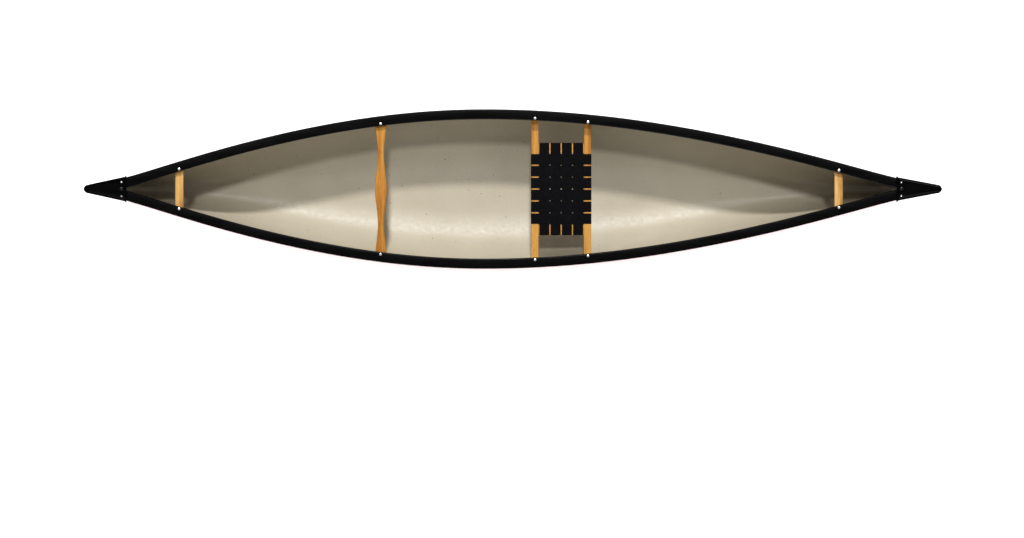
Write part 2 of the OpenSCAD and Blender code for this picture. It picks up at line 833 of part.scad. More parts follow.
// ---- bolts, washers and nuts, drawn down from the gunwale top
cup_foot = 0.9;                      // thickness of the cup washer at its bore
cup_rise = 1.5;
cup_edge = 0.6;
head_diameter = bolt_diameter + 5.2;
head_step = 0.6;                     // height of the head's dome above its rounded edge
head_shoulder = 0.7;                 // radius of the dome's shoulder, as a share of the head's
flat_washer_diameter = bolt_diameter + 8;
washer_clear = 1;                    // least gap between a flat washer and the hull's wall
washer_thickness = 1.2;
nut_height = 5;
nut_corners = bolt_diameter + 5.5;
thread_end = 3;                      // thread left below the nut
bore_radius = bolt_diameter / 2 + hole_slack;
cup_radius = head_diameter / 2 + fit;
thwart_grip = inwale_height + fit + thwart_thickness;

function seat_grip(x) = spacer_foot(x) + 2 * fit + frame_thickness;
function grip(x) = abs(x - seat_x) < rail_spacing ? seat_grip(x) : thwart_grip;

module cup_washers() {
  color("gainsboro")
    for (side = sides, x = bolt_xs)
      at_bolt(side, x)
        rotate_extrude()
          polygon([[bore_radius, fit], [cup_washer_diameter / 2, fit],
                   [cup_washer_diameter / 2, fit + cup_edge],
                   [cup_radius, fit + cup_foot + cup_rise], [bore_radius, fit + cup_foot]]);
}

module bolt(grip_length) {
  low = -grip_length - fit - washer_thickness - nut_height - thread_end;
  base = 2 * fit + cup_foot;
  edge = base + cup_rise + 2 * fit;
  r = head_diameter / 2;
  rotate_extrude()
    polygon([[0, low], [bolt_diameter / 2, low], [bolt_diameter / 2, base],
             [r, base + cup_rise + fit], [r, edge],
             [r * head_shoulder, edge + head_step], [0, edge + head_step + fit]]);
}

module thwart_bolts() {
  color("gainsboro")
    for (side = sides, x = thwart_xs)
      at_bolt(side, x)
        bolt(thwart_grip);
}

module seat_bolts() {
  color("gainsboro")
    for (side = sides, x = rail_places)
      at_bolt(side, x)
        bolt(seat_grip(x));
}

module flat_washers() {
  color("silver")
    for (side = sides, x = bolt_xs)
      at_bolt(side, x)
        translate([0, 0, -grip(x) - fit - washer_thickness])
          rotate_extrude()
            translate([bore_radius, 0])
              square([flat_washer_diameter / 2 - bore_radius, washer_thickness]);
}

module lock_nuts() {
  color("silver")
    for (side = sides, x = bolt_xs)
      at_bolt(side, x)
        translate([0, 0, -grip(x) - 2 * fit - washer_thickness - nut_height])
          difference() {
            cylinder(d = nut_corners, h = nut_height, $fn = 6);
            cylinder(r = bore_radius, h = 3 * nut_height, center = true);
          }
}

// ---- coloured sub-parts
module hull_outer_skin() {
  color("firebrick")
    hull_layer(0, outer_skin);
}

module hull_foam_core() {
  color("khaki")
    hull_layer(outer_skin, outer_skin + foam_core);
}

module hull_inner_skin() {
  color("darkkhaki")
    hull_layer(outer_skin + foam_core, wall);
}

module port_gunwale() {
  color("dimgray")
    gunwale(port);
}

module starboard_gunwale() {
  color("dimgray")
    gunwale(starboard);
}

module port_gunwale_insert() {
  color("silver")
    gunwale_insert(port);
}

module starboard_gunwale_insert() {
  color("silver")
    gunwale_insert(starboard);
}

module bow_deck_plate() {
  color("dimgray")
    deck_plate(bow);
}

module stern_deck_plate() {
  color("dimgray")
    deck_plate(stern);
}

module bow_grab_thwart() {
  grab_thwart(bow_thwart_x);
}

module stern_grab_thwart() {
  grab_thwart(stern_thwart_x);
}

module seat_front_rail() {
  seat_rail(rail_places[0]);
}

module seat_rear_rail() {
  seat_rail(rail_places[1]);
}

module seat_port_stretcher() {
  seat_stretcher(port);
}

module seat_starboard_stretcher() {
  seat_stretcher(starboard);
}

hull_outer_skin();
hull_foam_core();
hull_inner_skin();
port_gunwale();
starboard_gunwale();
port_gunwale_insert();
starboard_gunwale_insert();
gunwale_rivets();
bow_deck_plate();
stern_deck_plate();
deck_side_screws();
deck_centre_screws();
bow_grab_thwart();
stern_grab_thwart();
centre_thwart();
seat_front_rail();
seat_rear_rail();
seat_port_stretcher();
seat_starboard_stretcher();
seat_dowels();
seat_webbing_lengthwise();
seat_webbing_crosswise();
webbing_staples();
seat_spacers();
thwart_bolts();
seat_bolts();
cup_washers();
flat_washers();
lock_nuts();
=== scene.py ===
"""Looks of the open solo canoe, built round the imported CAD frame.

The frame is in metres and this file's sizes are in millimetres. +X is the stern, +Y starboard
and +Z up. Only the hull, gunwales, deck plates, centre thwart and webbing are built again;
every other piece keeps its CAD mesh.
"""

import json
import math

import bmesh
import bpy
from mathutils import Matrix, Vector


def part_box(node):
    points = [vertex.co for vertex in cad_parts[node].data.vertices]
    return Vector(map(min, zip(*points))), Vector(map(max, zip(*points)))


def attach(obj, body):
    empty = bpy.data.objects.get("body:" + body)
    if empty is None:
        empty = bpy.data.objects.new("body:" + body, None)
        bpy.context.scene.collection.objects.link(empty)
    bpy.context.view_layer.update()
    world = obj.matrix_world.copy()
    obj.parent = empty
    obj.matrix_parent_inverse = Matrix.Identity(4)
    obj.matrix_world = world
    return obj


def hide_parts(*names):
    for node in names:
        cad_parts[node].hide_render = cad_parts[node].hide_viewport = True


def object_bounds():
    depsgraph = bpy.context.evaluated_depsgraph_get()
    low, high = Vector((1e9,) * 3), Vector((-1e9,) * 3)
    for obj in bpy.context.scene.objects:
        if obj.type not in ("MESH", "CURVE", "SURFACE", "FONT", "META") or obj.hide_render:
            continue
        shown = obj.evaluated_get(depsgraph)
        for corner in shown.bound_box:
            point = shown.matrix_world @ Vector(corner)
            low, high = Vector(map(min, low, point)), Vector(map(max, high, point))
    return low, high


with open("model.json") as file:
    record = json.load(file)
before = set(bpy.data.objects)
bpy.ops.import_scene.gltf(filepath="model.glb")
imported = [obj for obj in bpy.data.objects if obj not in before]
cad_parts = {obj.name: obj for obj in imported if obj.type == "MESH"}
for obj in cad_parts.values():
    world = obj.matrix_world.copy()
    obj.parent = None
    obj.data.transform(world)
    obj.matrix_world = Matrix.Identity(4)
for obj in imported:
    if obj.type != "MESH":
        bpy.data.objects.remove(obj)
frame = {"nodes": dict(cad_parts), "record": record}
cad_lo, cad_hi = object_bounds()

MM = 0.001
PORT, STARBOARD = -1, 1
BOW, STERN = -1, 1

# ---------------------------------------------------------------- form of the canoe, millimetres
# These sizes and curves say the same as the CAD source, sampled more finely.
HALF_LENGTH = (cad_hi.x - cad_lo.x) / 2 / MM
HALF_BEAM = 370.0
CENTRE_DEPTH, END_DEPTH = 345.0, 486.0
WIDEST_X, SHEER_LOW_X, SHEER_POWER = -130.0, -230.0, 2.6
KEEL_RISE, STEM_REACH, STEM_BELLY_Z, STEM_TUCK = 30.0, 330.0, 300.0, 52.0
KEEL_FLAT, MID_FULLNESS, END_FULLNESS = 70.0, 2.7, 1.7
# node, depth of its outer face and depth of its inner face below the hull's outside
SKINS = (
    ("hull_outer_skin", 0.0, 1.8),
    ("hull_foam_core", 1.8, 4.6),
    ("hull_inner_skin", 4.6, 6.0),
)
WALL = SKINS[-1][2]
OUTWALE, INWALE, OUTWALE_H, INWALE_H = 20.0, 20.0, 28.0, 24.0
CAP, EDGE_ROUND, GROOVE = 4.0, 5.0, 1.5
FIT, RIM_GAP = 0.3, 0.8
STEM_X = HALF_LENGTH - STEM_REACH
TIP_X = HALF_LENGTH - 19.0
RIM_X = HALF_LENGTH - STEM_TUCK
SOFTNESS, STEM_POWER, KEEL_POWER = 12.0, 2.2, 1.2
CAD_STATIONS = 30
KEEL_FLAT_X = 2 * (2 * STEM_X / CAD_STATIONS)
STEM_SPLIT, STEM_TOP_GAP, STEM_FLAT = 0.6, 24.0, 1.5
TIP_PINCH, TIP_PINCH_POWER = 0.18, 6
GUNWALE_END = RIM_X - 64.0


def end_span(x, start):
    return TIP_X + start if x < start else TIP_X - start


def gunwale_line(x):
    """Half breadth over the outwale."""
    turn = math.cos(math.pi / 2 * abs(x - WIDEST_X) / end_span(x, WIDEST_X))
    return HALF_BEAM * max(0.0, turn) ** (1 + TIP_PINCH * (abs(x) / TIP_X) ** TIP_PINCH_POWER)


def hull_half(x):
    """Half breadth of the hull at its rim, which never quite reaches nought at the tips."""
    c = gunwale_line(x) - OUTWALE
    return (c + math.sqrt(c * c + 4 * SOFTNESS * SOFTNESS)) / 2


def rail_top(x):
    t = abs(x - SHEER_LOW_X) / end_span(x, SHEER_LOW_X)
    return CENTRE_DEPTH + (END_DEPTH - CENTRE_DEPTH) * t**SHEER_POWER


def rail_slope(x):
    return math.atan2(rail_top(x + 1) - rail_top(x - 1), 2)


def rim_z(x):
    return rail_top(x) - CAP - FIT


def keel_z(x):
    return KEEL_RISE * (max(0.0, abs(x) - KEEL_FLAT_X) / (STEM_X - KEEL_FLAT_X)) ** KEEL_POWER


def taper(x):
    return math.cos(math.pi / 2 * min(1.0, abs(x) / RIM_X))


def fan_x(side, fan, d):
    """Place of the rim end of an end ring, fan 0 at the foot of the stem and 1 at the tip."""
    return side * (STEM_X + (RIM_X - 2.5 * d - STEM_X) * fan)


def stem_point(side, fan, d):
    """Keel line carried up the stem, for the surface d inside the outer one."""
    reach = STEM_REACH - 2 * d
    if fan < STEM_SPLIT:
        turn = math.pi / 2 * fan / STEM_SPLIT
        forward = math.sin(turn) ** (2 / STEM_POWER)
        down = max(0.0, math.cos(turn)) ** (2 / STEM_POWER)
        z = STEM_BELLY_Z - (STEM_BELLY_Z - KEEL_RISE - d) * down
        return side * (STEM_X + reach * forward), z
    z_rim = rim_z(fan_x(side, 1, d))
    climb = z_rim - STEM_TOP_GAP - STEM_BELLY_Z
    z = STEM_BELLY_Z + climb * (fan - STEM_SPLIT) / (1 - STEM_SPLIT)
    lean = ((z - STEM_BELLY_Z) / (z_rim - STEM_BELLY_Z)) ** 2
    return side * (STEM_X + reach - (STEM_TUCK + 0.5 * d) * lean), z


def section(low, rim, d, girth):
    """One ring of the hull from the port rim round under the keel to the starboard rim."""
    half = hull_half(rim) - d
    power = 2 / (END_FULLNESS + (MID_FULLNESS - END_FULLNESS) * taper(rim))
    flat = min(STEM_FLAT + (KEEL_FLAT - STEM_FLAT) * taper(rim) ** 1.5, 0.4 * half)
    points = []
    for j in range(girth + 1):
        a = math.pi / 2 * j / girth
        up = 1 - max(0.0, math.cos(a)) ** power
        points.append(
            (
                low[0] + (rim - low[0]) * up,
                flat + (half - flat) * math.sin(a) ** power,
                low[1] + (rim_z(rim) - low[1]) * up,
            )
        )
    return [(x, -y, z) for x, y, z in reversed(points)] + points


def end_ring(side, fan, d, girth):
    return section(stem_point(side, fan, d), fan_x(side, fan, d), d, girth)


def hull_surface(d, mid=132, fan=44, girth=44):
    """Rings from bow to stern: mid of them between the stems, fan of them round each stem."""
    rings = [end_ring(BOW, k / fan, d, girth) for k in range(fan, -1, -1)]
    for i in range(1, mid):
        x = -STEM_X + 2 * STEM_X * i / mid
        rings.append(section((x, keel_z(x) + d), x, d, girth))
    rings += [end_ring(STERN, k / fan, d, girth) for k in range(fan + 1)]
    return rings


# ---------------------------------------------------------------- mesh building
def make_object(name, points, faces, material, sharp=40):
    """A mesh object from millimetre points, smooth except at edges sharper than the angle."""
    mesh = bpy.data.meshes.new(name)
    mesh.from_pydata([tuple(c * MM for c in p) for p in points], [], faces)
    mesh.validate()
    mesh.update()
    for polygon in mesh.polygons:
        polygon.use_smooth = True
    mesh.set_sharp_from_angle(angle=math.radians(sharp))
    mesh.materials.append(material)
    made = bpy.data.objects.new(name, mesh)
    bpy.context.scene.collection.objects.link(made)
    return made


def grid_faces(rows, columns, first, flip):
    """Quads over a grid of points whose first index is given."""
    faces = []
    for i in range(rows - 1):
        for j in range(columns - 1):
            a = first + i * columns + j
            quad = (a, a + 1, a + columns + 1, a + columns)
            faces.append(quad[::-1] if flip else quad)
    return faces


def shell(outside, inside):
    """Closed skin between two equal grids of rings."""
    rows, columns = len(outside), len(outside[0])
    n = rows * columns
    points = [p for ring in outside for p in ring] + [p for ring in inside for p in ring]
    faces = grid_faces(rows, columns, 0, True) + grid_faces(rows, columns, n, False)
    for i in range(rows - 1):
        a, b = i * columns, i * columns + columns - 1
        faces.append((a, a + columns, a + columns + n, a + n))
        faces.append((b + columns, b, b + n, b + columns + n))
    for j in range(columns - 1):
        a, b = j, (rows - 1) * columns + j
        faces.append((a + 1, a, a + n, a + 1 + n))
        faces.append((b, b + 1, b + 1 + n, b + n))
    return points, faces


def loft(rings):
    """Closed bar through a list of closed rings, capped at both ends."""
    rows, columns = len(rings), len(rings[0])
    points = [p for ring in rings for p in ring]
    faces = [tuple(range(columns))[::-1], tuple(range((rows - 1) * columns, rows * columns))]
    for i in range(rows - 1):
        for j in range(columns):
            a, b = i * columns + j, i * columns + (j + 1) % columns
            faces.append((a, b, b + columns, a + columns))
    return points, faces


def turn_outward(made):
    """Makes the faces of a closed mesh point outwards."""
    work = bmesh.new()
    work.from_mesh(made.data)
    bmesh.ops.recalc_face_normals(work, faces=work.faces)
    work.to_mesh(made.data)
    work.free()
    return made


def ride(piece, slot, *nodes):
    """Fixes a piece to the one body and hides the CAD nodes it stands for; the slot is not used.
    """
    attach(piece, "root")
    if nodes:
        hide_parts(*nodes)
    return piece


# ---------------------------------------------------------------- materials
class Material:
    """Small helper that wires procedural nodes into a Principled shader."""

    def __init__(self, name):
        self.material = bpy.data.materials.new(name)
        self.material.use_nodes = True
        self.tree = self.material.node_tree
        self.shader = self.tree.nodes["Principled BSDF"]
        self.place = self.tree.nodes.new("ShaderNodeTexCoord").outputs["Object"]

    def node(self, kind, inputs=(), **settings):
        made = self.tree.nodes.new(kind)
        for key, value in settings.items():
            setattr(made, key, value)
        for key, value in dict(inputs).items():
            self.feed(made.inputs[key], value)
        return made

    def feed(self, socket, value):
        if isinstance(value, bpy.types.NodeSocket):
            self.tree.links.new(value, socket)
        else:
            socket.default_value = value

    def stretched(self, scale):
        inputs = {"Vector": self.place, "Scale": scale}
        return self.node("ShaderNodeMapping", inputs).outputs["Vector"]

    def noise(self, scale, detail=4.0, rough=0.55, stretch=None):
        vector = self.stretched(stretch) if stretch else self.place
        inputs = {"Vector": vector, "Scale": scale, "Detail": detail, "Roughness": rough}
        return self.node("ShaderNodeTexNoise", inputs).outputs["Fac"]

    def ramp(self, value, stops):
        made = self.node("ShaderNodeValToRGB", {"Fac": value})
        elements = made.color_ramp.elements
        while len(elements) < len(stops):
            elements.new(0.5)
        for element, (position, colour) in zip(elements, stops):
            element.position = position
            element.color = (*colour, 1)
        return made.outputs["Color"]

    def grey(self, value, stops):
        return self.ramp(value, [(p, (v, v, v)) for p, v in stops])

    def mix(self, factor, a, b, blend="MIX"):
        made = self.node("ShaderNodeMix", data_type="RGBA", blend_type=blend)
        self.feed(made.inputs["Factor"], factor)
        self.feed(made.inputs["A"], a)
        self.feed(made.inputs["B"], b)
        return made.outputs["Result"]

    def math(self, operation, a, b):
        made = self.node("ShaderNodeMath", operation=operation)
        self.feed(made.inputs[0], a)
        self.feed(made.inputs[1], b)
        return made.outputs["Value"]

    def bump(self, height, strength, distance):
        inputs = {"Height": height, "Strength": strength, "Distance": distance}
        return self.node("ShaderNodeBump", inputs).outputs["Normal"]

    def finish(self, colour, roughness, normal=None, **plain):
        """Feeds the shader. Other inputs go by name, with _ for a space."""
        self.feed(self.shader.inputs["Base Color"], colour)
        self.feed(self.shader.inputs["Roughness"], roughness)
        if normal:
            self.feed(self.shader.inputs["Normal"], normal)
        for key, value in plain.items():
            self.shader.inputs[key.replace("_", " ")].default_value = value
        return self.material


def rgb(r, g, b):
    return (r, g, b, 1.0)


def hull_red():
    m = Material("hull_red")
    cloud = m.noise(3.0, 3.0)
    colour = m.ramp(cloud, [(0.25, (0.58, 0.002, 0.009)), (0.75, (0.68, 0.004, 0.014))])
    mottle = m.grey(m.noise(260.0, 3.0), [(0.35, 0.88), (0.65, 1.0)])
    colour = m.mix(1.0, colour, mottle, "MULTIPLY")
    roughness = m.grey(m.noise(90.0, 3.0), [(0.3, 0.36), (0.7, 0.46)])
    peel = m.bump(m.noise(320.0, 2.0), 0.10, 0.0006)
    return m.finish(colour, roughness, peel, IOR=1.20)


def hull_foam():
    m = Material("hull_foam")
    cells = m.node("ShaderNodeTexVoronoi", {"Vector": m.place, "Scale": 500.0}).outputs["Distance"]
    colour = m.ramp(cells, [(0.1, (0.55, 0.48, 0.30)), (0.6, (0.78, 0.71, 0.50))])
    return m.finish(colour, 0.85, m.bump(cells, 0.5, 0.0006))


def speck(m, scale, threshold, soft=0.02):
    """Mask of scattered small dots."""
    cells = m.node("ShaderNodeTexVoronoi", {"Vector": m.place, "Scale": scale, "Randomness": 1.0})
    size = m.node("ShaderNodeSeparateColor", {"Color": cells.outputs["Color"]}).outputs["Red"]
    reach = m.math("MULTIPLY", size, threshold)
    return m.grey(m.math("SUBTRACT", reach, cells.outputs["Distance"]), [(0.0, 0.0), (soft, 1.0)])


def hull_lining():
    m = Material("hull_lining")
    cloud = m.noise(4.0, 4.0)
    colour = m.ramp(cloud, [(0.3, (0.375, 0.333, 0.250)), (0.7, (0.42, 0.375, 0.287))])
    fine = m.grey(m.noise(420.0, 2.0), [(0.35, 0.90), (0.65, 1.0)])
    colour = m.mix(1.0, colour, fine, "MULTIPLY")
    colour = m.mix(speck(m, 34.0, 0.11), colour, rgb(0.12, 0.10, 0.075))
    colour = m.mix(speck(m, 52.0, 0.08), colour, rgb(0.58, 0.55, 0.48))
    roughness = m.grey(m.noise(60.0, 3.0), [(0.3, 0.42), (0.7, 0.54)])
    return m.finish(colour, roughness, m.bump(m.noise(280.0, 2.0), 0.12, 0.0008))


def black_plastic(name, base, rough, ior):
    m = Material(name)
    cloud = m.noise(14.0, 4.0, stretch=(0.25, 1.0, 1.0))
    colour = m.ramp(cloud, [(0.3, (base * 0.8,) * 3), (0.7, (base * 1.2, base * 1.2, base * 1.3))])
    scuffs = m.noise(36.0, 6.0, 0.7, stretch=(0.12, 1.0, 1.0))
    roughness = m.grey(scuffs, [(0.35, rough - 0.06), (0.7, rough + 0.10)])
    return m.finish(colour, roughness, m.bump(m.noise(900.0, 2.0), 0.10, 0.0003), IOR=ior)


ASH_STOPS = [
    (0.42, (0.24, 0.085, 0.014)),
    (0.54, (0.40, 0.18, 0.037)),
    (0.70, (0.53, 0.27, 0.063)),
    (0.86, (0.59, 0.34, 0.10)),
]


def wood(name, along, tone):
    """Straight-grained ash, with the grain along the given axis (0 for x, 1 for y)."""
    m = Material(name)

    def grain(long, across):
        return [long if i == along else across for i in range(3)]

    wander = m.noise(5.0, 3.0, stretch=grain(1.0, 3.0))
    bands = m.noise(1.6, 5.0, 0.6, stretch=grain(1.2, 26.0))
    figure = m.math("ADD", bands, m.math("MULTIPLY", wander, 0.30))
    colour = m.ramp(figure, ASH_STOPS)
    pores = m.noise(9.0, 6.0, 0.75, stretch=grain(3.0, 90.0))
    colour = m.mix(1.0, colour, m.grey(pores, [(0.36, 0.55), (0.50, 1.0)]), "MULTIPLY")
    colour = m.mix(1.0, colour, rgb(*tone), "MULTIPLY")
    roughness = m.grey(pores, [(0.3, 0.50), (0.7, 0.34)])
    return m.finish(colour, roughness, m.bump(pores, 0.12, 0.0004), IOR=1.22)


RIB_PITCH = 0.0022  # metres
WEB_STOPS = [(0.0, (0.0012, 0.0012, 0.0014)), (1.0, (0.0042, 0.0043, 0.0052))]


def webbing():
    m = Material("seat_web")
    split = m.node("ShaderNodeSeparateXYZ", {"Vector": m.place})
    turns = 2 * math.pi / RIB_PITCH
    ribs = []
    for axis in ("X", "Y"):
        ribs.append(m.math("SINE", m.math("MULTIPLY", split.outputs[axis], turns), 0.0))
    weave = m.math("MULTIPLY", ribs[0], ribs[1])
    tone = m.grey(m.noise(70.0, 4.0), [(0.3, 0.75), (0.7, 1.25)])
    thread = m.ramp(m.math("MULTIPLY_ADD", weave, 0.5), WEB_STOPS)
    colour = m.mix(1.0, thread, tone, "MULTIPLY")
    return m.finish(colour, 0.85, m.bump(weave, 0.5, 0.0004), IOR=1.12)


def metal(name, colour, rough):
    m = Material(name)
    scratches = m.noise(160.0, 5.0, 0.7)
    tint = m.grey(scratches, [(0.3, 0.90), (0.7, 1.0)])
    base = m.mix(1.0, rgb(*colour), tint, "MULTIPLY")
    roughness = m.grey(scratches, [(0.3, rough), (0.7, rough + 0.12)])
    return m.finish(base, roughness, m.bump(scratches, 0.05, 0.0002), Metallic=1.0)


MATERIALS = {
    "hull_red": hull_red(),
    "hull_foam": hull_foam(),
    "hull_lining": hull_lining(),
    "gunwale_vinyl": black_plastic("gunwale_vinyl", 0.0016, 0.27, 1.12),
    "deck_plastic": black_plastic("deck_plastic", 0.0008, 0.32, 1.09),
    "gunwale_metal": metal("gunwale_metal", (0.72, 0.73, 0.75), 0.35),
    "rivet_metal": metal("rivet_metal", (0.70, 0.71, 0.73), 0.35),
    "ash_thwarts": wood("ash_thwarts", 1, (0.80, 0.69, 0.46)),
    "ash_seat": wood("ash_seat", 1, (0.88, 0.82, 0.66)),
    "seat_web": webbing(),
    "spacer_metal": metal("spacer_metal", (0.72, 0.73, 0.75), 0.32),
    "fastener_steel": metal("fastener_steel", (0.86, 0.86, 0.87), 0.22),
    "fastener_black": metal("fastener_black", (0.03, 0.03, 0.035), 0.22),
}
STRETCHER_WOOD = wood("ash_stretchers", 0, (0.88, 0.82, 0.66))
# Near-black metal for the cup washers: painted shade, standing in for the shade round each bolt
# head rather than the washers' own steel colour.
WASHER_PAINTED_SHADE = metal("washer_painted_shade", (0.10, 0.10, 0.105), 0.30)
GRAB_WOOD = wood("ash_grab", 1, (1.12, 1.30, 1.75))


def dress_cad_nodes():
    """Gives every CAD mesh its material, with three that differ from their slot's usual one."""
    slot_of = {part["node"]: part["material_slot"] for part in frame["record"]["subparts"]}
    for name, made in frame["nodes"].items():
        material = MATERIALS[slot_of[name]]
        if "stretcher" in name or name == "seat_dowels":
            material = STRETCHER_WOOD
        if "grab" in name:
            material = GRAB_WOOD
        # The cup washers take the near-black metal above, which is painted shade round the bolt
        # heads.
        if name == "cup_washers":
            material = WASHER_PAINTED_SHADE
        made.data.materials.clear()
        made.data.materials.append(material)


def soften_edges(name, width):
    """Weld and bevel modifiers, so that a CAD node's edges catch the light."""
    made = frame["nodes"][name]
    weld = made.modifiers.new("weld", "WELD")
    weld.merge_threshold = 0.00001
    bevel = made.modifiers.new("bevel", "BEVEL")
    bevel.width = width * MM
    bevel.segments = 3
    bevel.limit_method = "ANGLE"
    bevel.angle_limit = math.radians(40)


# ---------------------------------------------------------------- hull
def build_hull():
    slots = {
        "hull_outer_skin": "hull_red",
        "hull_foam_core": "hull_foam",
        "hull_inner_skin": "hull_lining",
    }
    for node, d0, d1 in SKINS:
        points, faces = shell(hull_surface(d0), hull_surface(d1))
        made = turn_outward(make_object(node + "_look", points, faces, MATERIALS[slots[node]]))
        ride(made, slots[node], node)


# ---------------------------------------------------------------- gunwales
VINYL, VINYL_SHARE = 3.0, 0.3  # wall of the inwale, and its most as a share of the inwale
CHANNEL_GAP, CHAMFER, FOOT_ROUND, GROOVE_HALF = 1, 1, 2.0, 3.5
INSERT_THICK, INSERT_SHORTER = 2.5, 1


def inwale_at(x):
    """Thickness of the inwale, which thins where the two sides meet."""
    return min(INWALE, hull_half(x) - WALL - RIM_GAP - FIT)


def gunwale_section(x, arc=7):
    """Closed section, u outwards from the hull and w up from the gunwale top."""
    slot = WALL + RIM_GAP
    thick = inwale_at(x)
    inner = slot + thick
    inner_round = min(EDGE_ROUND, thick - FIT)
    vinyl = min(VINYL, thick * VINYL_SHARE)
    groove_w = -(OUTWALE_H + EDGE_ROUND) / 2
    points = []
    for i in range(arc + 1):
        a = math.pi / 2 * i / arc
        drop = EDGE_ROUND * (1 - math.sin(a))
        points.append((OUTWALE - EDGE_ROUND * (1 - math.cos(a)), -drop))
    for i in range(arc, -1, -1):
        a = math.pi / 2 * i / arc
        drop = EDGE_ROUND * (1 - math.sin(a))
        points.append((-inner + inner_round * (1 - math.cos(a)), -drop))
    points += [
        (-inner, -INWALE_H + CHAMFER),
        (-inner + CHAMFER, -INWALE_H),
        (-inner + vinyl, -INWALE_H),
        (-inner + vinyl, -CAP - CHANNEL_GAP),
        (-slot - vinyl, -CAP - CHANNEL_GAP),
        (-slot - vinyl, -INWALE_H),
        (-slot, -INWALE_H),
        (-slot, -CAP),
        (FIT, -CAP),
        (FIT, -OUTWALE_H),
    ]
    for i in range(arc):
        a = math.pi / 2 * i / (arc - 1)
        up = FOOT_ROUND - FOOT_ROUND * math.cos(a)
        points.append((OUTWALE - FOOT_ROUND + FOOT_ROUND * math.sin(a), -OUTWALE_H + up))
    for i in range(9):
        t = i / 8
        deep = GROOVE * math.sin(math.pi * t) ** 2
        points.append((OUTWALE - deep, groove_w - GROOVE_HALF + 2 * GROOVE_HALF * t))
    return points


def insert_section():
    """Section of the metal channel inside the inwale, in the same u and w."""
    a = WALL + RIM_GAP + VINYL + FIT
    b = WALL + RIM_GAP + INWALE - VINYL - FIT
    top = -CAP - CHANNEL_GAP - FIT
    t = INSERT_THICK
    short = -INWALE_H + INSERT_SHORTER
    return [
        (-a, top),
        (-b, top),
        (-b, -INWALE_H),
        (-b + t, -INWALE_H),
        (-b + t, top - t),
        (-a - t, top - t),
        (-a - t, short),
        (-a, short),
    ]


def rail_sweep(side, xs, section_at):
    """Bar along the gunwale line through the section at each place."""
    rings = []
    for x in xs:
        y, z = hull_half(x), rail_top(x)
        rings.append([(x, side * (y + u), z + w) for u, w in section_at(x)])
    return loft(rings)


def spread(start, end, count):
    return [start + (end - start) * i / count for i in range(count + 1)]


def build_gunwales():
    insert_end = fan_x(STERN, 0.2, 0)
    for side, word in ((PORT, "port"), (STARBOARD, "starboard")):
        bar = rail_sweep(side, spread(-GUNWALE_END, GUNWALE_END, 240), gunwale_section)
        name = word + "_gunwale_look"
        made = turn_outward(make_object(name, *bar, MATERIALS["gunwale_vinyl"], 50))
        ride(made, "gunwale_vinyl", word + "_gunwale")
        bar = rail_sweep(side, spread(-insert_end, insert_end, 120), lambda x: insert_section())
        name = word + "_gunwale_insert_look"
        made = turn_outward(make_object(name, *bar, MATERIALS["gunwale_metal"]))
        ride(made, "gunwale_metal", word + "_gunwale_insert")


# ---------------------------------------------------------------- deck plates
DECK_LENGTHS = {BOW: 192.0, STERN: 204.0}
DECK_NOSE, DECK_THICK, DISH = 20.0, 8.0, 3.5
LIP_FLANGE, LIP_BAND = 3.5, 6.0
SKIRT, SKIRT_DROP, DECK_GAP, TIP_RISE = 3.0, 31.0, 1.0, 5.0
NOSE_RAKE, NOSE_LEAN = math.radians(11), 70  # the lean fades in over the last 70 mm
TOP_ROUND, UNDER_ROUND, ROUND_SHARE = 3.0, 1.0, 0.45
DISH_BORDER, DISH_FALL = 7.0, 5.0


def deck_half(side, s, inset):
    """Half width of the plate at s along it, drawn in by the inset."""
    length = DECK_LENGTHS[side]
    lip_half = hull_half(side * (TIP_X - length)) + OUTWALE + FIT + SKIRT
    r, h, run = DECK_NOSE - inset, lip_half - inset, length - DECK_NOSE
    slope = math.atan2(h, run) - math.asin(r / math.hypot(run, h))
    touch = run + r * math.sin(slope)
    if s <= touch:
        return h - (h - r * math.cos(slope)) * s / touch
    return math.sqrt(max(0.0, r * r - (s - run) ** 2))


def smooth(t):
    """Eases from 0 to 1."""
    t = min(1.0, max(0.0, t))
    return t * t * (3 - 2 * t)


def deck_ring(side, s, inset, drop):
    """Section of the plate's outer surface (inset 0) or of its underside."""
    w = max(0.05, deck_half(side, s, inset))
    if inset == 0 and s < LIP_BAND:
        w += LIP_FLANGE
    top = DECK_THICK if inset == 0 else DECK_THICK - DISH - SKIRT * 0.8
    r = min(TOP_ROUND if inset == 0 else UNDER_ROUND, w * ROUND_SHARE)
    half = [(w, -drop), (w, -drop * 0.5), (w, top - r - 2)]
    for i in range(7):
        a = math.pi / 2 * i / 6
        half.append((w - r + r * math.cos(a), top - r + r * math.sin(a)))
    depth = 0.0
    if inset == 0:
        depth = DISH * smooth((w - DISH_BORDER - 4) / 10) * smooth((s - 2) / 9)
    inner = max(0.0, w - r - DISH_BORDER)
    for i in range(6):
        t = i / 5
        y = w - r - (w - r - inner) * 0.4 - DISH_FALL * t * smooth(inner / 12)
        y = max(0.0, min(y, w - r - 0.2 - 0.1 * i))
        half.append((y, top - depth * smooth(t)))
    last = half[-1][0]
    for t in (0.66, 0.33, 0.0):
        half.append((last * t, top - depth))
    return [(-y, z) for y, z in half[:-1]] + half[::-1]


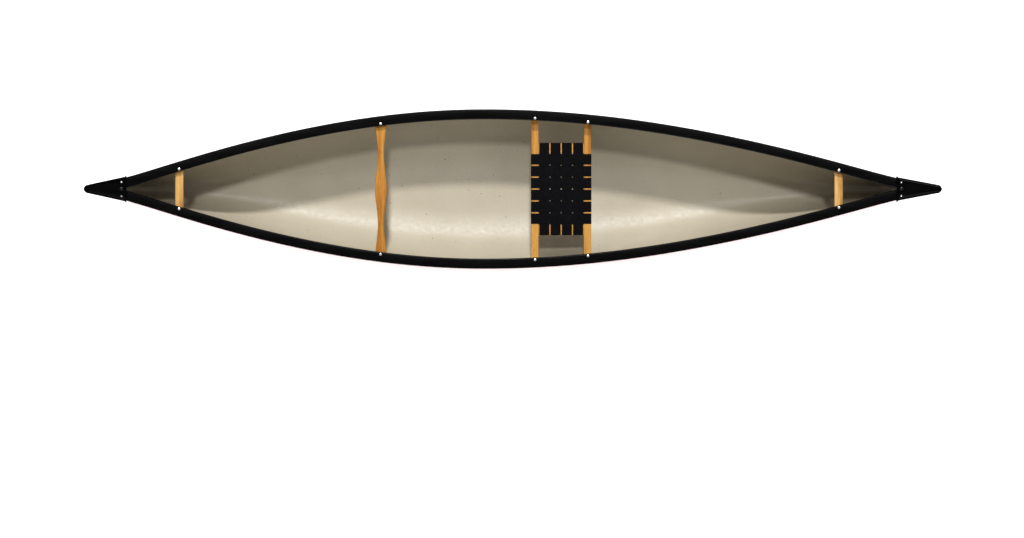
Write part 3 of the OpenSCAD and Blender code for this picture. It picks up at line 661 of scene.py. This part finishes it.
def build_deck_plates():
    for side, word in ((BOW, "bow"), (STERN, "stern")):
        length = DECK_LENGTHS[side]
        lip_x = TIP_X - length
        base = rail_top(side * lip_x) + DECK_GAP
        slope = math.atan2(END_DEPTH + TIP_RISE - base - DECK_THICK, length)
        rake = math.tan(NOSE_RAKE + slope)

        def place(s, y, z):
            lean = smooth((s - length + NOSE_LEAN) / NOSE_LEAN)
            s = s - rake * max(0.0, DECK_THICK - z) * lean
            x = lip_x + s * math.cos(slope) - z * math.sin(slope)
            return side * x, y, base + s * math.sin(slope) + z * math.cos(slope)

        def placed_ring(s, inset):
            return [place(s, y, z) for y, z in deck_ring(side, s, inset, SKIRT_DROP)]

        stations = [0.0, LIP_BAND - 0.5, LIP_BAND] + spread(LIP_BAND, length - DECK_NOSE, 36)[1:]
        for i in range(1, 21):
            stations.append(length - DECK_NOSE + DECK_NOSE * math.sin(math.pi / 2 * i / 20))
        shrink = (length - SKIRT) / length
        outside = [placed_ring(s, 0) for s in stations]
        inside = [placed_ring(s * shrink, SKIRT) for s in stations]
        name = word + "_deck_plate_look"
        plate = make_object(name, *shell(outside, inside), MATERIALS["deck_plastic"], 50)
        made = turn_outward(plate)
        ride(made, "deck_plastic", word + "_deck_plate")


# ---------------------------------------------------------------- thwarts
CENTRE_THWART_X = -612.0
CARVE_MEAN, CARVE_SWING, CARVE_PITCH = 20.75, 6.75, 330
THWART_HALF_H, THWART_ROUND = 9.5, 5.5


def carved_half(y):
    """Half width of the centre thwart, widest at the middle and at the ends."""
    return CARVE_MEAN + CARVE_SWING * math.cos(2 * math.pi * y / CARVE_PITCH)


def rounded_ring(half_w, half_h, r, arc=5):
    """Closed rounded rectangle, centred on the origin."""
    ring = []
    for cx, cz, start in ((1, 1, 0), (-1, 1, 1), (-1, -1, 2), (1, -1, 3)):
        for i in range(arc + 1):
            a = math.pi / 2 * (start + i / arc)
            ring.append((cx * (half_w - r) + r * math.cos(a), cz * (half_h - r) + r * math.sin(a)))
    return ring


def build_centre_thwart():
    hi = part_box("centre_thwart")[1]
    x0 = CENTRE_THWART_X
    reach = hi.y / MM
    cos, sin = math.cos(rail_slope(x0)), math.sin(rail_slope(x0))
    rings = []
    for y in spread(-reach, reach, 120):
        ring = []
        for u, w in rounded_ring(carved_half(y), THWART_HALF_H, THWART_ROUND):
            w -= INWALE_H + FIT + THWART_HALF_H
            ring.append((x0 + u * cos - w * sin, y, rail_top(x0) + u * sin + w * cos))
        rings.append(ring)
    bar = make_object("centre_thwart_look", *loft(rings), MATERIALS["ash_thwarts"], 50)
    made = turn_outward(bar)
    ride(made, "ash_thwarts", "centre_thwart")


# ---------------------------------------------------------------- seat webbing
WEB, STRAP_ROUND, STRAP_STEP = 1.5, 0.6, 1.6
WEAVE_GAP, CROSS_EASE = 0.15, 2.5
FRAME_H = 20.0
LENGTHWISE_COUNT, LENGTHWISE_WEB, LENGTHWISE_PITCH = 6, 49.0, 55.4
CROSSWISE_COUNT, CROSSWISE_WEB, CROSSWISE_PITCH = 4, 47.0, 52.6


def weave_height(centres, width, first, pitch):
    """Height of a strap over the frame's top: a wave over and under the crossing straps.

    The first crossing strap is passed over (first 1) or under (first -1).
    """

    def height(s):
        nearest = min(range(len(centres)), key=lambda j: abs(centres[j] - s))
        out = max(0.0, abs(s - centres[nearest]) - width / 2 + CROSS_EASE)
        sign = first if nearest % 2 == 0 else -first
        inside = s > centres[0] - pitch / 2 and s < centres[-1] + pitch / 2
        if not inside:
            return 0.0
        fade = 1 - smooth(out / (pitch / 2 - width / 2 + CROSS_EASE))
        return sign * (WEB + WEAVE_GAP) / 2 * fade

    return height


def strap_path(outer0, outer1, height, tail=24.0, r=3.0):
    """Mid-line of a strap from tail to tail over the top, as (s, z) points."""
    half = WEB / 2
    r = r + half
    left = [(outer0 + tail, -FRAME_H - half), (outer0 + r, -FRAME_H - half)]
    for i in range(1, 7):
        a = math.pi / 2 * i / 6
        left.append((outer0 + r - half - r * math.sin(a), -FRAME_H + r - half - r * math.cos(a)))
    left.append((outer0 - half, -r))
    for i in range(1, 7):
        a = math.pi / 2 * i / 6
        left.append((outer0 - half + r - r * math.cos(a), half - r + r * math.sin(a)))
    right = [(outer0 + outer1 - s, z) for s, z in reversed(left)]
    middle = []
    start, end = left[-1][0], right[0][0]
    steps = int((end - start) / STRAP_STEP)
    for i in range(1, steps):
        s = start + (end - start) * i / steps
        middle.append((s, half + height(s)))
    return left + middle + right


def strap(path, centre, width, along):
    """Flat strap with slightly rounded edges, lofted along its path."""
    rings = []
    for i, (s, z) in enumerate(path):
        before, after = path[max(0, i - 1)], path[min(len(path) - 1, i + 1)]
        length = math.hypot(after[0] - before[0], after[1] - before[1]) or 1.0
        ns, nz = -(after[1] - before[1]) / length, (after[0] - before[0]) / length
        ring = []
        for u, w in rounded_ring(width / 2, WEB / 2, STRAP_ROUND, 3):
            if along == "x":
                ring.append((s + ns * w, centre + u, z + nz * w))
            else:
                ring.append((centre + u, s + ns * w, z + nz * w))
        rings.append(ring)
    return loft(rings)


def join_parts(parts):
    points, faces = [], []
    for some_points, some_faces in parts:
        base = len(points)
        points += some_points
        faces += [tuple(i + base for i in face) for face in some_faces]
    return points, faces


def build_webbing():
    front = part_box("seat_front_rail")
    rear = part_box("seat_rear_rail")
    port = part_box("seat_port_stretcher")
    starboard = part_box("seat_starboard_stretcher")
    top = port[1].z / MM
    seat_x = (port[0].x + port[1].x) / 2 / MM
    middle = (LENGTHWISE_COUNT - 1) / 2
    ys = [(i - middle) * LENGTHWISE_PITCH for i in range(LENGTHWISE_COUNT)]
    middle = (CROSSWISE_COUNT - 1) / 2
    xs = [seat_x + (j - middle) * CROSSWISE_PITCH for j in range(CROSSWISE_COUNT)]
    parts = []
    for i, y in enumerate(ys):
        height = weave_height(xs, CROSSWISE_WEB, 1 if i % 2 == 0 else -1, CROSSWISE_PITCH)
        path = [(s, z + top) for s, z in strap_path(front[0].x / MM, rear[1].x / MM, height)]
        parts.append(strap(path, y, LENGTHWISE_WEB, "x"))
    name = "seat_webbing_lengthwise_look"
    made = turn_outward(make_object(name, *join_parts(parts), MATERIALS["seat_web"], 60))
    ride(made, "seat_web", "seat_webbing_lengthwise")
    parts = []
    for j, x in enumerate(xs):
        height = weave_height(ys, LENGTHWISE_WEB, -1 if j % 2 == 0 else 1, LENGTHWISE_PITCH)
        edges = port[0].y / MM, starboard[1].y / MM
        path = [(s, z + top) for s, z in strap_path(*edges, height)]
        parts.append(strap(path, x, CROSSWISE_WEB, "y"))
    name = "seat_webbing_crosswise_look"
    made = turn_outward(make_object(name, *join_parts(parts), MATERIALS["seat_web"], 60))
    ride(made, "seat_web", "seat_webbing_crosswise")


# ---------------------------------------------------------------- the pieces
dress_cad_nodes()
build_hull()
build_gunwales()
build_deck_plates()
build_centre_thwart()
build_webbing()
for node in ("seat_port_stretcher", "seat_starboard_stretcher"):
    soften_edges(node, 2.0)

# ---------------------------------------------------------------- floor, light and camera
SENSOR = 36.0
CAMERA_HEIGHT = 9.3
CAMERA_X = -0.003
FRAME_WIDTH = 4.671  # metres across the frame at the height of the deck tips
CANOE_ABOVE_MIDDLE = 0.3650  # metres from the frame's middle to the canoe's centreline
FLOOR_HALF, FLOOR_Z = 30.0, -0.0005
# sine of the height above the horizon, from -1 to 1, and the share of the surround's strength
WORLD_STOPS = ((-0.25, 0.10), (0.05, 0.6), (0.45, 1.0), (0.86, 1.0), (0.93, 0.15), (1.0, 0.06))
WORLD_STRENGTH = 0.62


def flat_sheet(name, size, z, material):
    """Square sheet in metres that lights nothing and mirrors nothing."""
    points = [(-size, -size, z), (size, -size, z), (size, size, z), (-size, size, z)]
    made = make_object(name, [tuple(c / MM for c in p) for p in points], [(0, 1, 2, 3)], material)
    made.visible_diffuse = False
    made.visible_glossy = False
    return made


def floor_material():
    m = Material("floor_pale")
    tone = m.grey(m.noise(1.5, 3.0), [(0.3, 0.86), (0.7, 0.90)])
    return m.finish(tone, 0.8)


def add_sun(name, towards, energy, angle):
    data = bpy.data.lights.new(name, "SUN")
    data.energy = energy
    data.angle = math.radians(angle)
    made = bpy.data.objects.new(name, data)
    made.rotation_mode = "QUATERNION"
    made.rotation_quaternion = Vector(towards).to_track_quat("-Z", "Y")
    bpy.context.scene.collection.objects.link(made)
    return made


def build_world():
    """Soft white surround: brightest half way up, dim low down, dark overhead.

    The camera itself sees plain white in place of it.
    """
    world = bpy.data.worlds.new("studio")
    world.use_nodes = True
    tree = world.node_tree
    light = tree.nodes["Background"]
    place = tree.nodes.new("ShaderNodeTexCoord")
    split = tree.nodes.new("ShaderNodeSeparateXYZ")
    ramp = tree.nodes.new("ShaderNodeValToRGB")
    tree.links.new(place.outputs["Generated"], split.inputs[0])
    lift = tree.nodes.new("ShaderNodeMapRange")
    lift.inputs["From Min"].default_value = -1.0
    tree.links.new(split.outputs["Z"], lift.inputs["Value"])
    tree.links.new(lift.outputs["Result"], ramp.inputs[0])
    elements = ramp.color_ramp.elements
    while len(elements) < len(WORLD_STOPS):
        elements.new(0.5)
    for element, (height, value) in zip(elements, WORLD_STOPS):
        element.position = (height + 1) / 2
        element.color = (value, value, value, 1)
    tree.links.new(ramp.outputs["Color"], light.inputs["Color"])
    light.inputs["Strength"].default_value = WORLD_STRENGTH
    backdrop = tree.nodes.new("ShaderNodeBackground")
    backdrop.inputs["Color"].default_value = (1, 1, 1, 1)
    ray = tree.nodes.new("ShaderNodeLightPath")
    blend = tree.nodes.new("ShaderNodeMixShader")
    tree.links.new(ray.outputs["Is Camera Ray"], blend.inputs[0])
    tree.links.new(light.outputs[0], blend.inputs[1])
    tree.links.new(backdrop.outputs[0], blend.inputs[2])
    tree.links.new(blend.outputs[0], tree.nodes["World Output"].inputs["Surface"])
    bpy.context.scene.world = world


def sun_direction(off_vertical, along=0.0):
    """Way the light travels when it comes from starboard, so many degrees off the vertical."""
    turn = math.radians(off_vertical)
    return (along, -math.sin(turn), -math.cos(turn))


def link_to(light, objects):
    """Lets a light reach only these objects, with nothing in its way."""
    receivers = bpy.data.collections.new(light.name + "_receivers")
    for item in objects:
        receivers.objects.link(item)
    light.light_linking.receiver_collection = receivers
    nothing = bpy.data.collections.new(light.name + "_blockers")
    light.light_linking.blocker_collection = nothing


def build_studio():
    floor = flat_sheet("floor", FLOOR_HALF, FLOOR_Z, floor_material())
    build_world()
    add_sun("key_high", sun_direction(19), energy=1.3, angle=5)
    add_sun("key_low", sun_direction(42), energy=2.9, angle=5)
    add_sun("side_fill", sun_direction(-83, 0.12), energy=2.6, angle=14)
    link_to(add_sun("floor_light", sun_direction(0), energy=3.0, angle=20), [floor])
    bpy.context.scene.view_settings.view_transform = "Standard"
    bpy.context.scene.view_settings.look = "None"


def build_camera():
    """Camera straight above, bow to the left, shifted so that the canoe sits above the middle."""
    data = bpy.data.cameras.new("camera")
    data.sensor_width = SENSOR
    data.lens = SENSOR * (CAMERA_HEIGHT - cad_hi.z) / FRAME_WIDTH
    data.shift_y = -CANOE_ABOVE_MIDDLE / FRAME_WIDTH
    made = bpy.data.objects.new("camera", data)
    made.location = (CAMERA_X, 0.0, CAMERA_HEIGHT)
    made.rotation_euler = (0, 0, 0)
    bpy.context.scene.collection.objects.link(made)
    bpy.context.scene.camera = made


build_studio()
build_camera()
